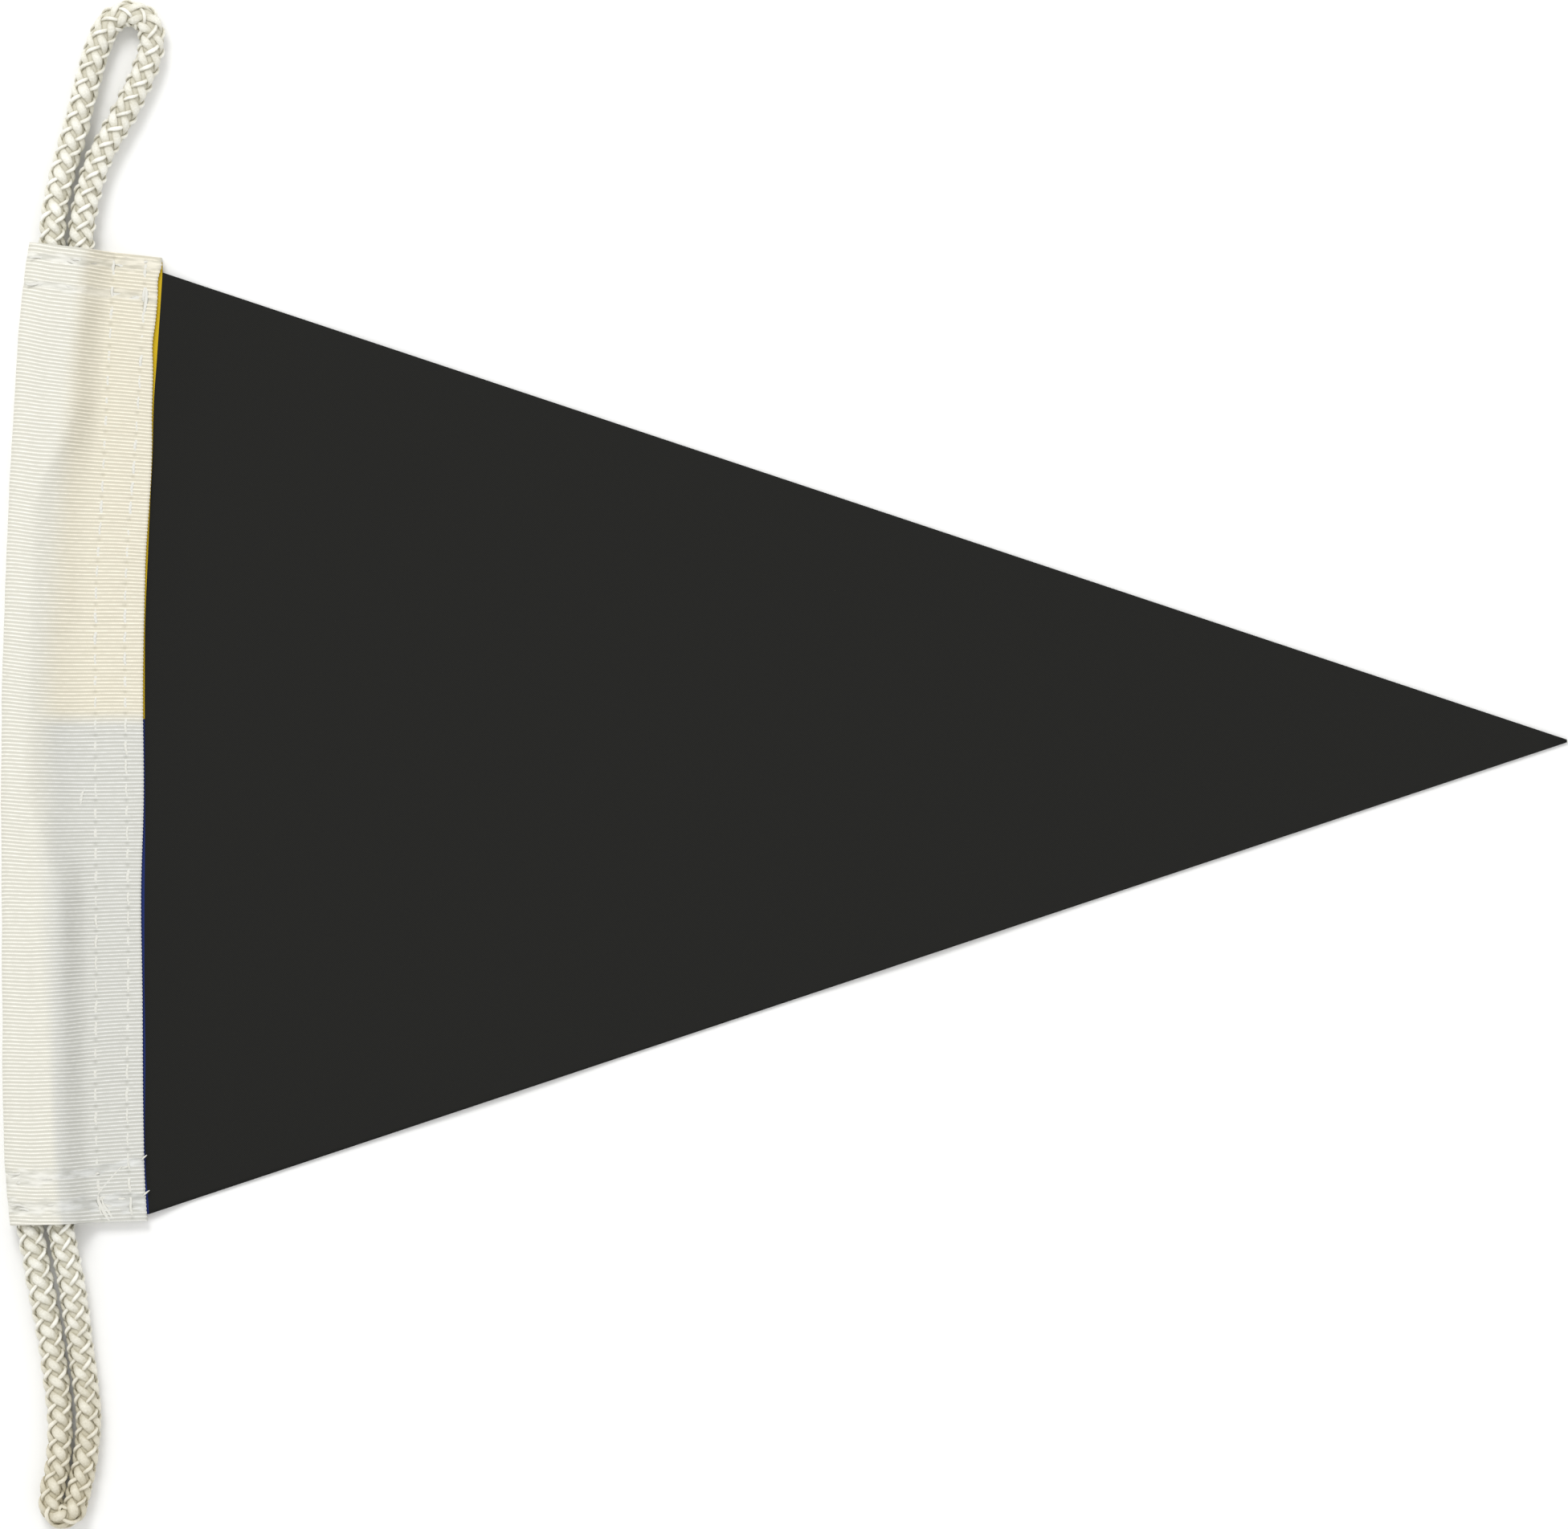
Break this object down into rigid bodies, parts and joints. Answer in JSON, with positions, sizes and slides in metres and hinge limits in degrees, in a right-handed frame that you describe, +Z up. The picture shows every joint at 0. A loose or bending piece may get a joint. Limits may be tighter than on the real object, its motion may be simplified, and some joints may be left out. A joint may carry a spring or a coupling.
{
  "type": "pennant flag",
  "caption": "Triangular black pennant flag with a folded, ribbed tape heading and a braided rope sewn through its fold, with a loop of the rope at each end for a halyard",
  "frame": {"origin": "on the surface under the middle of the cloth and heading", "axes": "+X from the heading to the point, +Y along the hoist to the open loop, +Z up from the surface the flag lies on"},
  "size_m": [0.3326, 0.3242, 0.0087],
  "materials": {
    "flag_cloth": "matte black knitted polyester, heat cut at its edges, with a narrow yellow and navy facing at the hoist",
    "heading_tape": "cream white woven tape with fine cross ribs, sewn with white thread",
    "rope": "cream white diamond braid with a slight sheen"
  },
  "bodies": {
    "root": {"flag_cloth": "flag_cloth", "heading": "heading_tape", "rope": "rope"}
  },
  "joints": []
}
